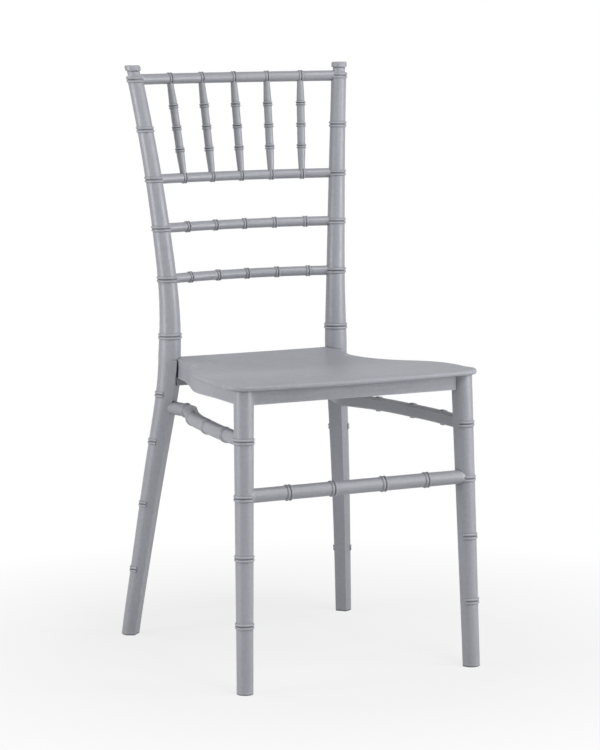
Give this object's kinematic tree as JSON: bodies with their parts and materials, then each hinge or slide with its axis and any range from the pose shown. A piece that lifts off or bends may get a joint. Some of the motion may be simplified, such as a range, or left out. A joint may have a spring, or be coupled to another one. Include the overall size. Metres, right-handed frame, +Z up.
{
  "type": "chiavari chair",
  "caption": "Silver-grey moulded plastic dining chair with bamboo style double beads, spindle back between curved rails, dished seat and ring marked stretchers.",
  "frame": {"origin": "on the floor, under the middle of the chair's bounding box", "axes": "+X across the chair towards its right side as seen by someone facing its front, +Y from the front to the back, +Z up"},
  "size_m": [0.4148, 0.4666, 0.91],
  "materials": {
    "frame_plastic": "satin",
    "seat_plastic": "fine textured satin",
    "cap_plastic": "satin",
    "glide_plastic": "matt",
    "screw_steel": "zinc plated"
  },
  "bodies": {
    "root": {"seat": "seat_plastic", "rear_post_left": "frame_plastic", "front_leg_left": "frame_plastic", "side_stretcher_left": "frame_plastic", "finial_cap_left": "cap_plastic", "foot_glide_front_left": "glide_plastic", "foot_glide_rear_left": "glide_plastic", "rear_post_right": "frame_plastic", "front_leg_right": "frame_plastic", "side_stretcher_right": "frame_plastic", "finial_cap_right": "cap_plastic", "foot_glide_front_right": "glide_plastic", "foot_glide_rear_right": "glide_plastic", "top_rail": "frame_plastic", "crest_rail": "frame_plastic", "upper_mid_rail": "frame_plastic", "lower_mid_rail": "frame_plastic", "front_stretcher": "frame_plastic", "back_spindle_1": "frame_plastic", "back_spindle_2": "frame_plastic", "back_spindle_3": "frame_plastic", "back_spindle_4": "frame_plastic", "back_spindle_5": "frame_plastic", "rear_seat_screws": "screw_steel", "front_leg_screws": "screw_steel"}
  },
  "joints": []
}
